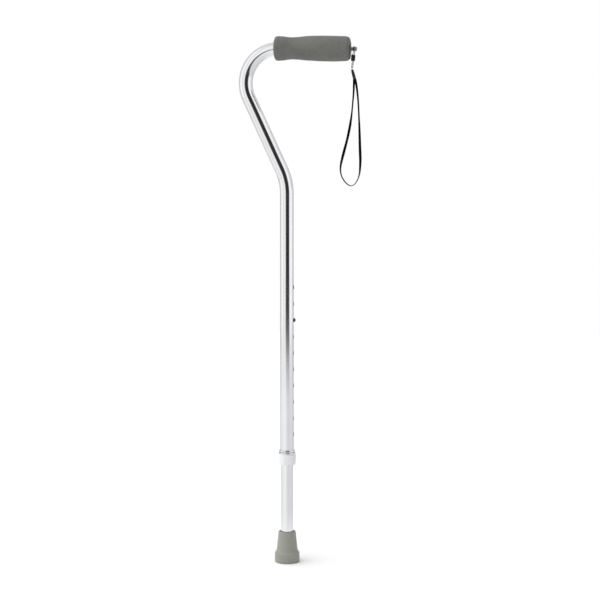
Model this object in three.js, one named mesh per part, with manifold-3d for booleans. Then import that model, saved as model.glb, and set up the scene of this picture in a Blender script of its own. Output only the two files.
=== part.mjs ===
// Single point cane with an offset handle, as a three.js scene graph.
// Millimetres, +Z up. The origin is the centre of the rubber tip's sole, +Z runs up the shaft, and
// +X points the way the handle's free end points. Every bend of the tube lies in the plane y = 0.
import * as THREE from "three";
import { mergeVertices } from "three/addons/utils/BufferGeometryUtils.js";
import Module from "manifold-3d";

const wasm = await Module();
wasm.setup();

// ---- Driving dimensions ----

const GAP = 0.3; // clearance between pieces that touch or slide on the real cane

const UPPER_R = 11.1; // upper tube, 7/8 inch outside
const LOWER_R = 9.525; // lower tube, 3/4 inch outside
const WALL = 1.25; // wall of both tubes

const HANDLE_Z = 794.5; // axis of the handle
const HANDLE_END_X = 90; // open end of the upper tube, inside the grip
const BEND_X = -11.6; // where the handle runs into the big bend
const BEND_R = 52.5; // big bend, on the centre line
const SLANT = THREE.MathUtils.degToRad(25.1); // slanted run, from the vertical
const NECK_R = 85; // small bend above the shaft, on the centre line
const UPPER_END_Z = 163; // lower end of the upper tube

const HOLE_PITCH = 25.4;
const HOLE_R = 3.3;
const BUTTON_R = 2.9;
const BUTTON_Z = 380; // the button's height, and that of the hole it stands in
const HOLES_ABOVE = 2;
const HOLES_BELOW = 7;

const LOWER_BOTTOM_Z = 10.2;
const LOWER_TOP_Z = 415;

const GRIP_LEFT_X = -17.6;
const GRIP_RIGHT_X = 97.1;
const GRIP_BORE_R = 11.8;
const GRIP_END_HOLE_R = 5; // the post stands a little below the grip's axis
const GRIP_SAG = 1; // how far the palm swell hangs below the tube's axis

const POST_TIP_X = 107.7; // outer end of the strap post
const POST_Z = 793;
const POST_R = 2.9;

const SLEEVE_TOP_Z = 177.6;
const RING_TOP_Z = 173.8;
const RING_BOTTOM_Z = 154.3;
const RING_R = 13.25;
const RING_RIBS = 36;
const RING_RIB_HEIGHT = 0.3;

const TIP_TOP_Z = 48.5;
const TIP_BAND_R = 19.3;
const TIP_FLOOR_Z = 8; // bottom of the tip's blind socket

const CORD_R = 0.5;
const WEB_WIDTH = 4.6;
const WEB_THICK = 1.2;

const SIDES = 24; // flats round a tube

// ---- Materials ----

const finish = (color, roughness, metalness) =>
  new THREE.MeshStandardMaterial({ color, roughness, metalness });

const polishedAluminium = finish(0xdfe1e4, 0.16, 1);
const springSteel = finish(0xa9adb2, 0.35, 1);
const greyFoam = finish(0x6d6c68, 0.85, 0);
const greyPlastic = finish(0x77787a, 0.45, 0);
const silverPlastic = finish(0xd6d8da, 0.38, 0);
const whiteNylon = finish(0xe6e4dc, 0.5, 0);
const greyRubber = finish(0x95978d, 0.7, 0);
const blackPlastic = finish(0x141415, 0.4, 0);
const blackCord = finish(0x121213, 0.9, 0);

// ---- Helpers ----

// A closed geometry as a solid: only positions count, and shared corners are joined.
function solidOf(geometry) {
  const bare = geometry.clone();
  bare.deleteAttribute("normal");
  bare.deleteAttribute("uv");
  const merged = mergeVertices(bare, 1e-4);
  const vertProperties = new Float32Array(merged.attributes.position.array);
  const triVerts = new Uint32Array(merged.index.array);
  return new wasm.Manifold(new wasm.Mesh({ numProp: 3, vertProperties, triVerts }));
}

// A solid as a geometry.
function geometryOf(solid) {
  const mesh = solid.getMesh();
  const geometry = new THREE.BufferGeometry();
  geometry.setAttribute("position", new THREE.BufferAttribute(mesh.vertProperties, 3));
  geometry.setIndex(new THREE.BufferAttribute(mesh.triVerts, 1));
  geometry.computeVertexNormals();
  return geometry;
}

// A profile of [radius, height] corners turned about +Z. It runs up the outside and back down the
// inside, or from the axis to the axis, so that the faces point out.
function turned(profile, sides = SIDES) {
  const corners = profile.map(([r, z]) => new THREE.Vector2(r, z));
  return new THREE.LatheGeometry(corners, sides).rotateX(Math.PI / 2);
}

// A ring or sleeve between two radii.
function ring(inner, outer, low, high, sides = SIDES) {
  const profile = [[inner, low], [outer, low], [outer, high], [inner, high], [inner, low]];
  return turned(profile, sides);
}

// A cylinder along +X that starts at x = 0.
function pegAlongX(radius, length, sides) {
  const peg = new THREE.CylinderGeometry(radius, radius, length, sides);
  return peg.rotateZ(Math.PI / 2).translate(length / 2, 0, 0);
}

// A flat section, wide along x and thin along y, with its corners cut.
function flatSection(width, thickness) {
  const w = width / 2;
  const t = thickness / 2;
  const c = t / 2;
  const corners = [
    [w, t - c], [w - c, t], [c - w, t], [-w, t - c], [-w, c - t], [c - w, -t], [w - c, -t], [w, c - t],
  ];
  return new THREE.Shape(corners.map(([x, y]) => new THREE.Vector2(x, y)));
}

// A round section with a given number of sides.
function roundSection(radius, sides) {
  const corners = [];
  for (let i = 0; i < sides; i++) {
    const a = (2 * Math.PI * i) / sides;
    corners.push(new THREE.Vector2(radius * Math.cos(a), radius * Math.sin(a)));
  }
  return corners;
}

// A smooth curve through [x, y, z] points.
const curveThrough = (points) =>
  new THREE.CatmullRomCurve3(points.map((p) => new THREE.Vector3(...p)), false, "centripetal");

function piece(name, geometry, material) {
  const mesh = new THREE.Mesh(geometry, material);
  mesh.name = name;
  return mesh;
}

// ---- Upper tube ----

// The tube's centre line as a list of stations, each with a point and a direction. A straight run
// has a station at its ends, and a bend has one every few degrees.
class TubeLine extends THREE.Curve {
  constructor() {
    super();
    this.stations = [];
  }
  add(x, z, dx, dz) {
    const point = new THREE.Vector3(x, 0, z);
    const direction = new THREE.Vector3(dx, 0, dz).normalize();
    this.stations.push({ point, direction });
  }
  // A bend about (cx, cz), from one angle to another, measured from +X towards +Z.
  bend(cx, cz, radius, from, to, steps) {
    const way = Math.sign(to - from);
    for (let i = 0; i <= steps; i++) {
      const a = from + ((to - from) * i) / steps;
      const cos = Math.cos(a);
      const sin = Math.sin(a);
      this.add(cx + radius * cos, cz + radius * sin, -way * sin, way * cos);
    }
  }
  station(u) {
    return this.stations[Math.round(u * (this.stations.length - 1))];
  }
  getPoint(t) {
    return this.station(t).point.clone();
  }
  getPointAt(u) {
    return this.getPoint(u);
  }
  getTangentAt(u) {
    return this.station(u).direction.clone();
  }
}

// Where the slanted run's line crosses the shaft's axis.
function slantFootZ() {
  const endX = BEND_X - BEND_R * Math.cos(SLANT);
  const endZ = HANDLE_Z - BEND_R - BEND_R * Math.sin(SLANT);
  return endZ + endX / Math.tan(SLANT);
}

function tubeLine() {
  const line = new TubeLine();
  const neckZ = slantFootZ() - NECK_R * Math.tan(SLANT / 2);
  line.add(HANDLE_END_X, HANDLE_Z, -1, 0);
  line.bend(BEND_X, HANDLE_Z - BEND_R, BEND_R, Math.PI / 2, Math.PI + SLANT, 14);
  line.bend(-NECK_R, neckZ, NECK_R, SLANT, 0, 4);
  line.add(0, UPPER_END_Z, 0, -1);
  return line;
}

function upperTube() {
  const section = new THREE.Shape(roundSection(UPPER_R, SIDES));
  section.holes.push(new THREE.Path(roundSection(UPPER_R - WALL, SIDES)));
  const line = tubeLine();
  const steps = line.stations.length - 1;
  let tube = solidOf(new THREE.ExtrudeGeometry(section, { steps, extrudePath: line }));
  for (let i = -HOLES_BELOW; i <= HOLES_ABOVE; i++) {
    const drill = pegAlongX(HOLE_R, UPPER_R, 12);
    drill.translate(UPPER_R / 2, 0, BUTTON_Z + i * HOLE_PITCH);
    tube = tube.subtract(solidOf(drill));
  }
  return piece("upper_tube", geometryOf(tube), polishedAluminium);
}

// ---- Handle ----

// The grip is turned about its own axis, its outside is slid towards the palm's side past the waist,
// and it is laid along +X with its left end at x = 0.
function foamGrip() {
  const length = GRIP_RIGHT_X - GRIP_LEFT_X;
  const wall = GRIP_RIGHT_X - HANDLE_END_X - 2.9; // the closed end beyond the tube's plug
  const outside = [
    [GRIP_BORE_R, 0], [15.6, 0], [17.2, 0.7], [18.2, 2.2], [18.6, 5], [18.35, 11], [17.6, 16.5],
    [16.85, 22], [16.65, 28], [17.0, 34], [17.6, 40.5], [18.25, 47], [18.6, 54], [18.95, 62],
    [19.2, 70], [19.3, 80], [19.3, 90], [19.05, 98], [18.8, 106], [18.3, 110.6], [17.3, 113],
    [16.1, 114.2], [14.4, length],
  ];
  const floor = length - wall;
  const inside = [[GRIP_END_HOLE_R, length], [GRIP_END_HOLE_R, floor], [GRIP_BORE_R, floor]];
  const geometry = turned([...outside, ...inside, outside[0]], 28);
  const at = geometry.attributes.position;
  for (let i = 0; i < at.count; i++) {
    const sag = GRIP_SAG * THREE.MathUtils.smoothstep(at.getZ(i), 45, 100);
    if (Math.hypot(at.getX(i), at.getY(i)) > GRIP_BORE_R + 1) at.setX(i, at.getX(i) + sag);
  }
  const grip = piece("foam_grip", geometry, greyFoam);
  grip.rotation.y = Math.PI / 2;
  grip.position.set(GRIP_LEFT_X, 0, HANDLE_Z);
  return grip;
}

// Plug in the tube's open end, moulded in one with the post that holds the strap. The post leans a
// little below the handle's axis, so the plug is a plain turned piece joined to an offset post.
function gripEndPlug() {
  const bore = UPPER_R - WALL;
  const plug = turned([
    [0, -16], [bore - 1.2, -16], [bore - 0.5, -14], [bore - 0.5, GAP],
    [UPPER_R, GAP], [UPPER_R, 2.4], [0, 2.4],
  ]);
  plug.rotateY(Math.PI / 2).translate(HANDLE_END_X, 0, HANDLE_Z);
  const reach = POST_TIP_X - HANDLE_END_X;
  const post = turned([
    [0, 1], [POST_R, 1], [POST_R, reach - 2.4], [POST_R + 0.7, reach - 1.6],
    [POST_R + 0.7, reach - 0.4], [POST_R + 0.3, reach], [0, reach],
  ], 16);
  post.rotateY(Math.PI / 2).translate(HANDLE_END_X, 0, POST_Z);
  return piece("grip_end_plug", geometryOf(solidOf(plug).add(solidOf(post))), greyPlastic);
}

// ---- Height lock: sleeve on the tube's end, split collet and threaded ring ----

const SLEEVE_R = 12.15; // threaded outside of the sleeve
const SLEEVE_LOW_Z = UPPER_END_Z - GAP - 1.4;
const SLIDING_R = LOWER_R + GAP + 0.1; // bore of whatever the lower tube slides through

function lockSleeve() {
  const overTube = UPPER_R + GAP + 0.1;
  const flangeZ = RING_TOP_Z + 0.6;
  const profile = [
    [SLIDING_R, SLEEVE_LOW_Z], [SLEEVE_R, SLEEVE_LOW_Z], [SLEEVE_R, flangeZ],
    [12.6, flangeZ], [13.1, flangeZ + 0.8], [13.1, SLEEVE_TOP_Z - 1], [12.4, SLEEVE_TOP_Z],
    [overTube, SLEEVE_TOP_Z], [overTube, UPPER_END_Z - GAP], [SLIDING_R, UPPER_END_Z - GAP],
    [SLIDING_R, SLEEVE_LOW_Z],
  ];
  return piece("lock_sleeve", turned(profile, 32), silverPlastic);
}

const COLLET_LOW_Z = RING_BOTTOM_Z + 2 + GAP;

function colletRing() {
  const top = SLEEVE_LOW_Z - GAP;
  const taper = [
    [SLIDING_R, COLLET_LOW_Z], [11.0, COLLET_LOW_Z], [12.0, COLLET_LOW_Z + 1.6], [12.0, top],
    [SLIDING_R, top], [SLIDING_R, COLLET_LOW_Z],
  ];
  const slit = pegAlongX(1.2, 2 * RING_R, 4).rotateX(Math.PI / 4);
  const cut = solidOf(slit.scale(1, 1, 8).translate(0, 0, COLLET_LOW_Z));
  return piece("collet_ring", geometryOf(solidOf(turned(taper, 32)).subtract(cut)), whiteNylon);
}

// Toothed band of the ring: every second corner of the outline stands out by the rib's height.
function ribbedBand(root, low, high) {
  const outline = [];
  for (let i = 0; i < 2 * RING_RIBS; i++) {
    const a = (Math.PI * i) / RING_RIBS;
    const r = root + (i % 2 ? RING_RIB_HEIGHT : 0);
    outline.push(new THREE.Vector2(r * Math.cos(a), r * Math.sin(a)));
  }
  const shape = new THREE.Shape(outline);
  shape.holes.push(new THREE.Path(roundSection(SLEEVE_R + 0.5, 32)));
  const options = { depth: high - low, bevelEnabled: false };
  return new THREE.ExtrudeGeometry(shape, options).translate(0, 0, low);
}

function lockRing() {
  const bore = SLEEVE_R + GAP;
  const lip = COLLET_LOW_Z - GAP;
  const groove = 170.4;
  const body = turned([
    [SLIDING_R, RING_BOTTOM_Z], [RING_R - 0.6, RING_BOTTOM_Z], [RING_R, RING_BOTTOM_Z + 0.6],
    [RING_R, groove - 0.5], [RING_R - 0.4, groove], [RING_R, groove + 0.5],
    [RING_R, RING_TOP_Z - 0.6], [RING_R - 0.4, RING_TOP_Z],
    [bore, RING_TOP_Z], [bore, lip], [SLIDING_R, lip], [SLIDING_R, RING_BOTTOM_Z],
  ], 32);
  const band = ribbedBand(RING_R, RING_BOTTOM_Z + 1.2, groove - 1.2);
  return piece("lock_ring", geometryOf(solidOf(body).add(solidOf(band))), silverPlastic);
}

// ---- Lower leg ----

function lowerTube() {
  const tube = ring(LOWER_R - WALL, LOWER_R, LOWER_BOTTOM_Z, LOWER_TOP_Z);
  const drill = pegAlongX(HOLE_R, LOWER_R, 12).translate(LOWER_R / 2, 0, BUTTON_Z);
  return piece("lower_tube", geometryOf(solidOf(tube).subtract(solidOf(drill))), polishedAluminium);
}

function glideBush() {
  const shank = LOWER_R - WALL - GAP - 0.1;
  const profile = [
    [shank - 2, LOWER_TOP_Z - 12], [shank, LOWER_TOP_Z - 12], [shank, LOWER_TOP_Z + GAP],
    [LOWER_R, LOWER_TOP_Z + GAP], [LOWER_R, LOWER_TOP_Z + 2.5], [shank - 2, LOWER_TOP_Z + 2.5],
    [shank - 2, LOWER_TOP_Z - 12],
  ];
  return piece("glide_bush", turned(profile), whiteNylon);
}

// Rubber tip: a cone on a flared foot, with a socket from above and tread grooves in the sole.
function rubberTip() {
  const socket = LOWER_R + GAP + 0.1;
  const foot = [
    [0, 0], [6, 0], [6.4, 1.2], [7.8, 1.2], [8.2, 0], [11.2, 0], [11.6, 1.2], [13, 1.2], [13.4, 0],
    [17.2, 0], [18.7, 0.6], [TIP_BAND_R, 2],
  ];
  const wall = [
    [TIP_BAND_R, 14.2], [18.8, 15.8], [16.9, 18.2], [16.2, 21], [14, 42], [13.6, TIP_TOP_Z - 2],
    [13.1, TIP_TOP_Z],
  ];
  const inside = [[11.4, TIP_TOP_Z], [socket, TIP_TOP_Z - 1.6], [socket, TIP_FLOOR_Z], [0, TIP_FLOOR_Z]];
  return piece("rubber_tip", turned([...foot, ...wall, ...inside], 32), greyRubber);
}

function tipWasher() {
  const disc = turned([
    [0, TIP_FLOOR_Z + GAP], [LOWER_R, TIP_FLOOR_Z + GAP],
    [LOWER_R, LOWER_BOTTOM_Z - GAP], [0, LOWER_BOTTOM_Z - GAP],
  ]);
  return piece("tip_washer", disc, springSteel);
}

// Hairpin leaf: one leg stands behind the button, the other presses on the far wall.
function snapSpring() {
  const leaf = curveThrough([
    [7.0, 0, BUTTON_Z + 5], [7.0, 0, BUTTON_Z - 5], [5.2, 0, BUTTON_Z - 24], [3.4, 0, BUTTON_Z - 40],
    [0, 0, BUTTON_Z - 44], [-3.4, 0, BUTTON_Z - 40], [-5.6, 0, BUTTON_Z - 24], [-7.2, 0, BUTTON_Z - 6],
  ]);
  const geometry = new THREE.ExtrudeGeometry(flatSection(6, 0.6), { steps: 26, extrudePath: leaf });
  return piece("snap_spring", geometry, springSteel);
}

// The button's shank starts just in front of the leaf, and its dome stands clear of both tubes.
function snapButton() {
  const reach = 5.9;
  const dome = turned([
    [0, 0], [BUTTON_R, 0], [BUTTON_R, reach - 1.5], [BUTTON_R * 0.88, reach - 0.7],
    [BUTTON_R * 0.55, reach - 0.15], [0, reach],
  ], 16);
  const button = piece("snap_button", dome, springSteel);
  button.rotation.y = Math.PI / 2;
  button.position.set(7.7, 0, BUTTON_Z);
  return button;
}

// ---- Wrist strap ----

// The cord leaves the crimp, runs up through the bead, round the post and back the same way.
const CORD_ROUTE = [
  [100.0, 0, 764.0], [100.4, 0, 768.5], [100.9, 0, 774.0], [101.4, 0, 779.5], [101.8, 0, 784.7],
  [102.6, -1.7, 787.4], [103.4, -3.2, 790.2], [103.7, -3.75, 793.3], [103.7, -2.65, 795.7],
  [103.7, 0, 796.8], [103.7, 2.65, 795.7], [103.7, 3.75, 793.3], [104.0, 3.2, 790.2],
  [104.2, 1.7, 787.4], [104.0, 0, 784.7], [103.3, 0, 779.5], [102.7, 0, 774.0],
  [102.1, 0, 768.5], [101.6, 0, 764.1],
];

// The webbing hangs as one long loop from the crimp, nearest the shaft first.
const WEB_ROUTE = [
  [103.8, 0, 747.7], [103.6, 0, 738], [103.1, 0, 726], [101.9, 0, 712], [100.2, 0, 694],
  [97.3, 0, 675], [93.0, 0, 655], [89.5, 0, 642], [86.1, 0, 629], [83.8, 0, 618.5], [83.4, 0, 609.5],
  [85.3, 0, 601.5], [89.3, 0, 594.5], [94.2, 0, 589.6], [99.9, 0, 587.2], [105.0, 0, 589.6],
  [109.6, 0, 596.2], [112.6, 0, 605.5], [113.6, 0, 616], [113.9, 0, 628], [113.3, 0, 643],
  [112.4, 0, 671.5], [111.4, 0, 694], [110.1, 0, 716.5], [107.9, 0, 736], [105.7, 0, 748.0],
];

function strapCord() {
  const shape = new THREE.Shape(roundSection(CORD_R, 8));
  const options = { steps: 56, extrudePath: curveThrough(CORD_ROUTE) };
  return piece("strap_cord", new THREE.ExtrudeGeometry(shape, options), blackCord);
}

const CORD_LEAN = Math.atan2(2.2, 21.7); // the cord's lean from the vertical below the post

function strapBead() {
  const bore = 1.95;
  const profile = [
    [bore, -4.6], [2.6, -5], [3.2, -3.2], [3.4, 0], [3.2, 3.2], [2.6, 5], [bore, 4.6], [bore, -4.6],
  ];
  const bead = piece("strap_bead", turned(profile, 16), blackPlastic);
  bead.rotation.y = CORD_LEAN;
  bead.position.set(102.4, 0, 779.7);
  return bead;
}

function strapCrimp() {
  const barrel = turned([
    [0, 0], [2.2, 0], [2.9, 1], [3.0, 6], [2.6, 12], [2.0, 14.7], [0, 14.7],
  ], 16).scale(0.8, 1, 1);
  const crimp = piece("strap_crimp", barrel, blackPlastic);
  crimp.rotation.y = Math.atan2(-3.9, 14.2);
  crimp.position.set(104.6, 0, 748.4);
  return crimp;
}

function strapWebbing() {
  const options = { steps: 76, extrudePath: curveThrough(WEB_ROUTE) };
  const geometry = new THREE.ExtrudeGeometry(flatSection(WEB_WIDTH, WEB_THICK), options);
  return piece("strap_webbing", geometry, blackCord);
}

// ---- Assembly ----

const cane = new THREE.Group();

const leg = new THREE.Group();
leg.add(lowerTube(), rubberTip(), tipWasher(), glideBush(), snapSpring(), snapButton());

const upper = new THREE.Group();
upper.add(upperTube(), foamGrip(), gripEndPlug());

const heightLock = new THREE.Group();
heightLock.add(lockSleeve(), colletRing(), lockRing());

const wristStrap = new THREE.Group();
wristStrap.add(strapCord(), strapBead(), strapCrimp(), strapWebbing());

cane.add(leg, upper, heightLock, wristStrap);

export default cane;
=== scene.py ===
# %% [markdown]
# # A single point cane
# The cane is a bent aluminium tube with a foam grip, a thinner tube that slides inside it, a rubber
# foot and a wrist strap. Its frame is already made, with every size and joint: this lesson loads it
# and makes the surfaces and finishes that the eye sees. Everything is in metres, +Z runs up the
# shaft, +X is the way the handle's free end points, and the origin is where the foot meets the floor.

# %% Load the frame
import math

import bmesh
import bpy
import numpy as np
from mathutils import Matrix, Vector


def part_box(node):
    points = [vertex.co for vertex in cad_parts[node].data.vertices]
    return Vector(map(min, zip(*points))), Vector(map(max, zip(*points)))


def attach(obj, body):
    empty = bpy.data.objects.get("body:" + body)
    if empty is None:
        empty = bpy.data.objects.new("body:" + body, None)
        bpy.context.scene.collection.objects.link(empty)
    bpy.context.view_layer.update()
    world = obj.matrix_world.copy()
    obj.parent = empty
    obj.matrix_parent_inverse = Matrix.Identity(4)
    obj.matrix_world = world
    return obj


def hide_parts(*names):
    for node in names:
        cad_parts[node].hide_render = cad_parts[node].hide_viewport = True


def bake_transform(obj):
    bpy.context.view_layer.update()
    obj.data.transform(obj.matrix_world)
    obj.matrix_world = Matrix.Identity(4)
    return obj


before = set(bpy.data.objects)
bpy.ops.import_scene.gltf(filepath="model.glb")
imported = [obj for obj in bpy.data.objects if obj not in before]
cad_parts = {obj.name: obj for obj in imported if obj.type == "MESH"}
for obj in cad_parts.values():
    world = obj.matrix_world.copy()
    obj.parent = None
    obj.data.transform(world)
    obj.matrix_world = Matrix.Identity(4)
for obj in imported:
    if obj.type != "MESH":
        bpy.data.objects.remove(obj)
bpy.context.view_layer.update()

MM = 0.001

# %% [markdown]
# ## The camera
# A long lens from almost three metres away keeps the shaft straight and its width even. It stands
# just below the grip and a little to the handle's side, so the holes along that side just show.

# %% Camera
VIEW_SIDE = math.radians(12)  # how far the camera stands round from the front, towards +X
VIEW_DISTANCE = 2.7
VIEW_HEIGHT = 0.7
LENS_MM = 106
SENSOR_MM = 36
AIM = Vector((0.02055, 0.0, 0.4113))

camera_data = bpy.data.cameras.new("camera")
camera_data.lens = LENS_MM
camera_data.sensor_width = SENSOR_MM
camera = bpy.data.objects.new("camera", camera_data)
bpy.context.scene.collection.objects.link(camera)
camera.location = (
    AIM.x + VIEW_DISTANCE * math.sin(VIEW_SIDE),
    -VIEW_DISTANCE * math.cos(VIEW_SIDE),
    VIEW_HEIGHT,
)
camera.rotation_mode = "QUATERNION"
camera.rotation_quaternion = (AIM - camera.location).to_track_quat("-Z", "Y")
bpy.context.scene.camera = camera
print("camera at", tuple(round(c, 3) for c in camera.location))

# %% [markdown]
# ## Surfaces from numbers
# Blender can turn, loft or model a shape by hand. Here each shape is a formula instead: a grid of
# points worked out with numpy, one row for each step along the piece and one column for each step
# round it. A grid is easy to read, exact, and carries its own UV map in millimetres, which is what a
# weave or a drawn metal's lines follow.

# %% Grids into meshes
WELD_WITHIN = 0.002 * MM


def patch(points, uv, keep=None):
    """One grid of points (rows, columns, 3) and its UVs, with a face in each cell or in those kept."""
    rows, columns = points.shape[:2]
    number = np.arange(rows * columns).reshape(rows, columns)
    cells = np.stack([number[:-1, :-1], number[:-1, 1:], number[1:, 1:], number[1:, :-1]], axis=-1)
    faces = cells.reshape(-1, 4) if keep is None else cells[keep]
    return points.reshape(-1, 3), uv.reshape(-1, 2), faces


def surface(name, patches, sharp=40):
    """Patches joined into one object: shared edges welded, faces turned outwards and smoothed."""
    starts = np.cumsum([0] + [len(points) for points, _, _ in patches])
    points = np.concatenate([p for p, _, _ in patches])
    uv = np.concatenate([u for _, u, _ in patches])
    faces = np.concatenate([f + start for (_, _, f), start in zip(patches, starts)])
    mesh = bpy.data.meshes.new(name)
    mesh.vertices.add(len(points))
    mesh.vertices.foreach_set("co", points.astype(np.float32).ravel())
    mesh.loops.add(faces.size)
    mesh.loops.foreach_set("vertex_index", faces.astype(np.int32).ravel())
    mesh.polygons.add(len(faces))
    mesh.polygons.foreach_set("loop_start", np.arange(0, faces.size, 4, dtype=np.int32))
    mesh.update(calc_edges=True)
    layer = mesh.uv_layers.new(name="millimetres")
    layer.data.foreach_set("uv", uv[faces].astype(np.float32).ravel())
    welded = bmesh.new()
    welded.from_mesh(mesh)
    bmesh.ops.remove_doubles(welded, verts=welded.verts, dist=WELD_WITHIN)
    bmesh.ops.recalc_face_normals(welded, faces=welded.faces)
    open_edges = sum(1 for e in welded.edges if not e.is_manifold)
    welded.to_mesh(mesh)
    welded.free()
    mesh.polygons.foreach_set("use_smooth", np.ones(len(mesh.polygons), dtype=bool))
    mesh.set_sharp_from_angle(angle=math.radians(sharp))
    mesh.update()
    piece = bpy.data.objects.new(name, mesh)
    bpy.context.scene.collection.objects.link(piece)
    print(f"{name}: {len(mesh.polygons)} faces, {open_edges} open edges")
    return piece


# %% Profiles and turned shapes
def length_along(line):
    """The distance from a line's start to each of its points."""
    return np.concatenate([[0], np.cumsum(np.linalg.norm(np.diff(line, axis=0), axis=1))])


def filleted(corners, steps=5):
    """A line through (radius, height, fillet) corners, each fillet an arc that meets both sides."""
    line = []
    for i, (r, h, fillet) in enumerate(corners):
        here = np.array([r, h], float)
        if fillet == 0 or i in (0, len(corners) - 1):
            line.append(here[None])
            continue
        back = np.array(corners[i - 1][:2]) - here
        ahead = np.array(corners[i + 1][:2]) - here
        back, ahead = back / np.linalg.norm(back), ahead / np.linalg.norm(ahead)
        half = math.acos(np.clip(back @ ahead, -1, 1)) / 2
        middle = (back + ahead) / np.linalg.norm(back + ahead)
        centre = here + middle * fillet / math.sin(half)
        touch = [here + side * fillet / math.tan(half) for side in (back, ahead)]
        turn = np.linspace(0, 1, steps + 1)[:, None]
        chord = touch[0] * (1 - turn) + touch[1] * turn - centre
        line.append(centre + fillet * chord / np.linalg.norm(chord, axis=1, keepdims=True))
    return np.concatenate(line) * MM


def turned(profile, around, wave=None):
    """A profile of (radius, height) turned about +Z: x = r cos a, y = r sin a, z = h.
    wave(a, h, r) is added to the radius, for ribs. It returns the points and their UVs."""
    angle = np.linspace(0, 2 * math.pi, around + 1)
    radius = profile[:, :1] + np.zeros_like(angle)
    height = profile[:, 1:] + np.zeros_like(angle)
    if wave is not None:
        radius = radius + wave(angle[None, :], height, radius)
    points = np.stack([radius * np.cos(angle), radius * np.sin(angle), height], axis=-1)
    points[:, -1] = points[:, 0]
    run = length_along(profile)[:, None]
    uv = np.stack([angle * profile[:, 0].max() + 0 * height, run + 0 * height], axis=-1) / MM
    return points, uv


def along_x(points, x, z):
    """Points turned about +Z laid over so that their axis runs along +X through (x, z)."""
    return np.stack([points[..., 2] + x, points[..., 1], z - points[..., 0]], axis=-1)


# %% Smooth lines and shapes carried along them
def smooth_line(points, step):
    """A centripetal Catmull-Rom curve through points, with a station about every step of length."""
    p = np.array(points, float)
    p = np.concatenate([[2 * p[0] - p[1]], p, [2 * p[-1] - p[-2]]])
    stations = []
    for a, b, c, d in zip(p[:-3], p[1:-2], p[2:-1], p[3:]):
        knots = np.cumsum([0] + [math.sqrt(np.linalg.norm(v)) for v in (b - a, c - b, d - c)])
        count = max(2, math.ceil(np.linalg.norm(c - b) / step))
        t = np.linspace(knots[1], knots[2], count, endpoint=False)[:, None]

        def blend(low, high, i, j):
            return (low * (knots[j] - t) + high * (t - knots[i])) / (knots[j] - knots[i])

        ab, bc, cd = blend(a, b, 0, 1), blend(b, c, 1, 2), blend(c, d, 2, 3)
        stations.append(blend(blend(ab, bc, 0, 2), blend(bc, cd, 1, 3), 1, 2))
    return np.concatenate(stations + [p[-2:-1]])


def carried(line, across, section, twist=0.0, swell=1.0):
    """A closed section of (across, deep) points carried along a line and closed at both ends.
    across is a direction that the line never runs along; twist turns the section about the line,
    and swell scales it, each a number or one number for each station."""
    run = length_along(line)
    ahead = np.gradient(line, axis=0)
    ahead /= np.linalg.norm(ahead, axis=1, keepdims=True)
    side = across - (ahead @ across)[:, None] * ahead
    side /= np.linalg.norm(side, axis=1, keepdims=True)
    deep = np.cross(ahead, side)
    section = np.concatenate([section, section[:1]])
    twist = (np.zeros(len(line)) + twist)[:, None]
    swell = (np.zeros(len(line)) + swell)[:, None]
    a = swell * (section[:, 0] * np.cos(twist) - section[:, 1] * np.sin(twist))
    b = swell * (section[:, 0] * np.sin(twist) + section[:, 1] * np.cos(twist))
    skin = line[:, None] + a[..., None] * side[:, None] + b[..., None] * deep[:, None]
    edge = length_along(section)
    uv = np.stack([edge + 0 * a, run[:, None] + 0 * a], axis=-1) / MM
    ends = [patch(np.stack([skin[i], np.repeat(line[i][None], len(edge), 0)]),
                  np.stack([uv[i], uv[i]])) for i in (0, -1)]
    return [patch(skin, uv), *ends]


def oval(wide, thick, count, power=2.0):
    """A closed section: an ellipse at power 2, nearer a flat rectangle at a higher power."""
    a = np.linspace(0, 2 * math.pi, count, endpoint=False)
    x, y = np.cos(a), np.sin(a)
    return np.stack([wide / 2 * np.sign(x) * abs(x) ** (2 / power),
                     thick / 2 * np.sign(y) * abs(y) ** (2 / power)], axis=-1)


# %% [markdown]
# ## Finishes from nodes
# Every finish is built from Blender's own texture nodes. Colours are written as the hex values that
# a paint chart gives and turned to the linear values that light is reckoned in. One helper adds a
# node, so a finish reads as a list of what feeds what.

# %% Helpers for finishes
def linear(code):
    """An sRGB hex colour as linear red, green, blue and alpha."""
    parts = [int(code[i:i + 2], 16) / 255 for i in (1, 3, 5)]
    return (*[c / 12.92 if c <= 0.04045 else ((c + 0.055) / 1.055) ** 2.4 for c in parts], 1.0)


def add(tree, kind, links=None, **settings):
    """Adds a node. Settings set its properties, or its sockets by name with _ for a space, in the
    order given; links gives the output that feeds each socket, by name or number."""
    node = tree.nodes.new(kind)
    for key, value in settings.items():
        if hasattr(node, key):
            setattr(node, key, value)
        else:
            node.inputs[key.replace("_", " ")].default_value = value
    for socket, output in (links or {}).items():
        tree.links.new(output, node.inputs[socket])
    return node


def finish(name, **constants):
    """A new material with a Principled shader, whose constants go on its own sockets."""
    material = bpy.data.materials.new(name)
    material.use_nodes = True
    tree = material.node_tree
    tree.nodes.clear()
    shader = add(tree, "ShaderNodeBsdfPrincipled", **constants)
    add(tree, "ShaderNodeOutputMaterial", {"Surface": shader.outputs["BSDF"]})
    return material, tree, shader


def feed(tree, shader, **outputs):
    """Links each output to the shader's socket of that name, with _ for a space."""
    for key, output in outputs.items():
        tree.links.new(output, shader.inputs[key.replace("_", " ")])


def dress(piece, material, body, node):
    """Gives a finished piece its material and the body it rides on, and hides the node it stands for.
    A piece that bends between two bodies has no body here, and has its transform baked after this."""
    piece.data.materials.clear()
    piece.data.materials.append(material)
    if body:
        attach(piece, body)
    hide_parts(node)
    print(f"{piece.name}: {material.name}, on {body or 'two bodies'}")


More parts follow.
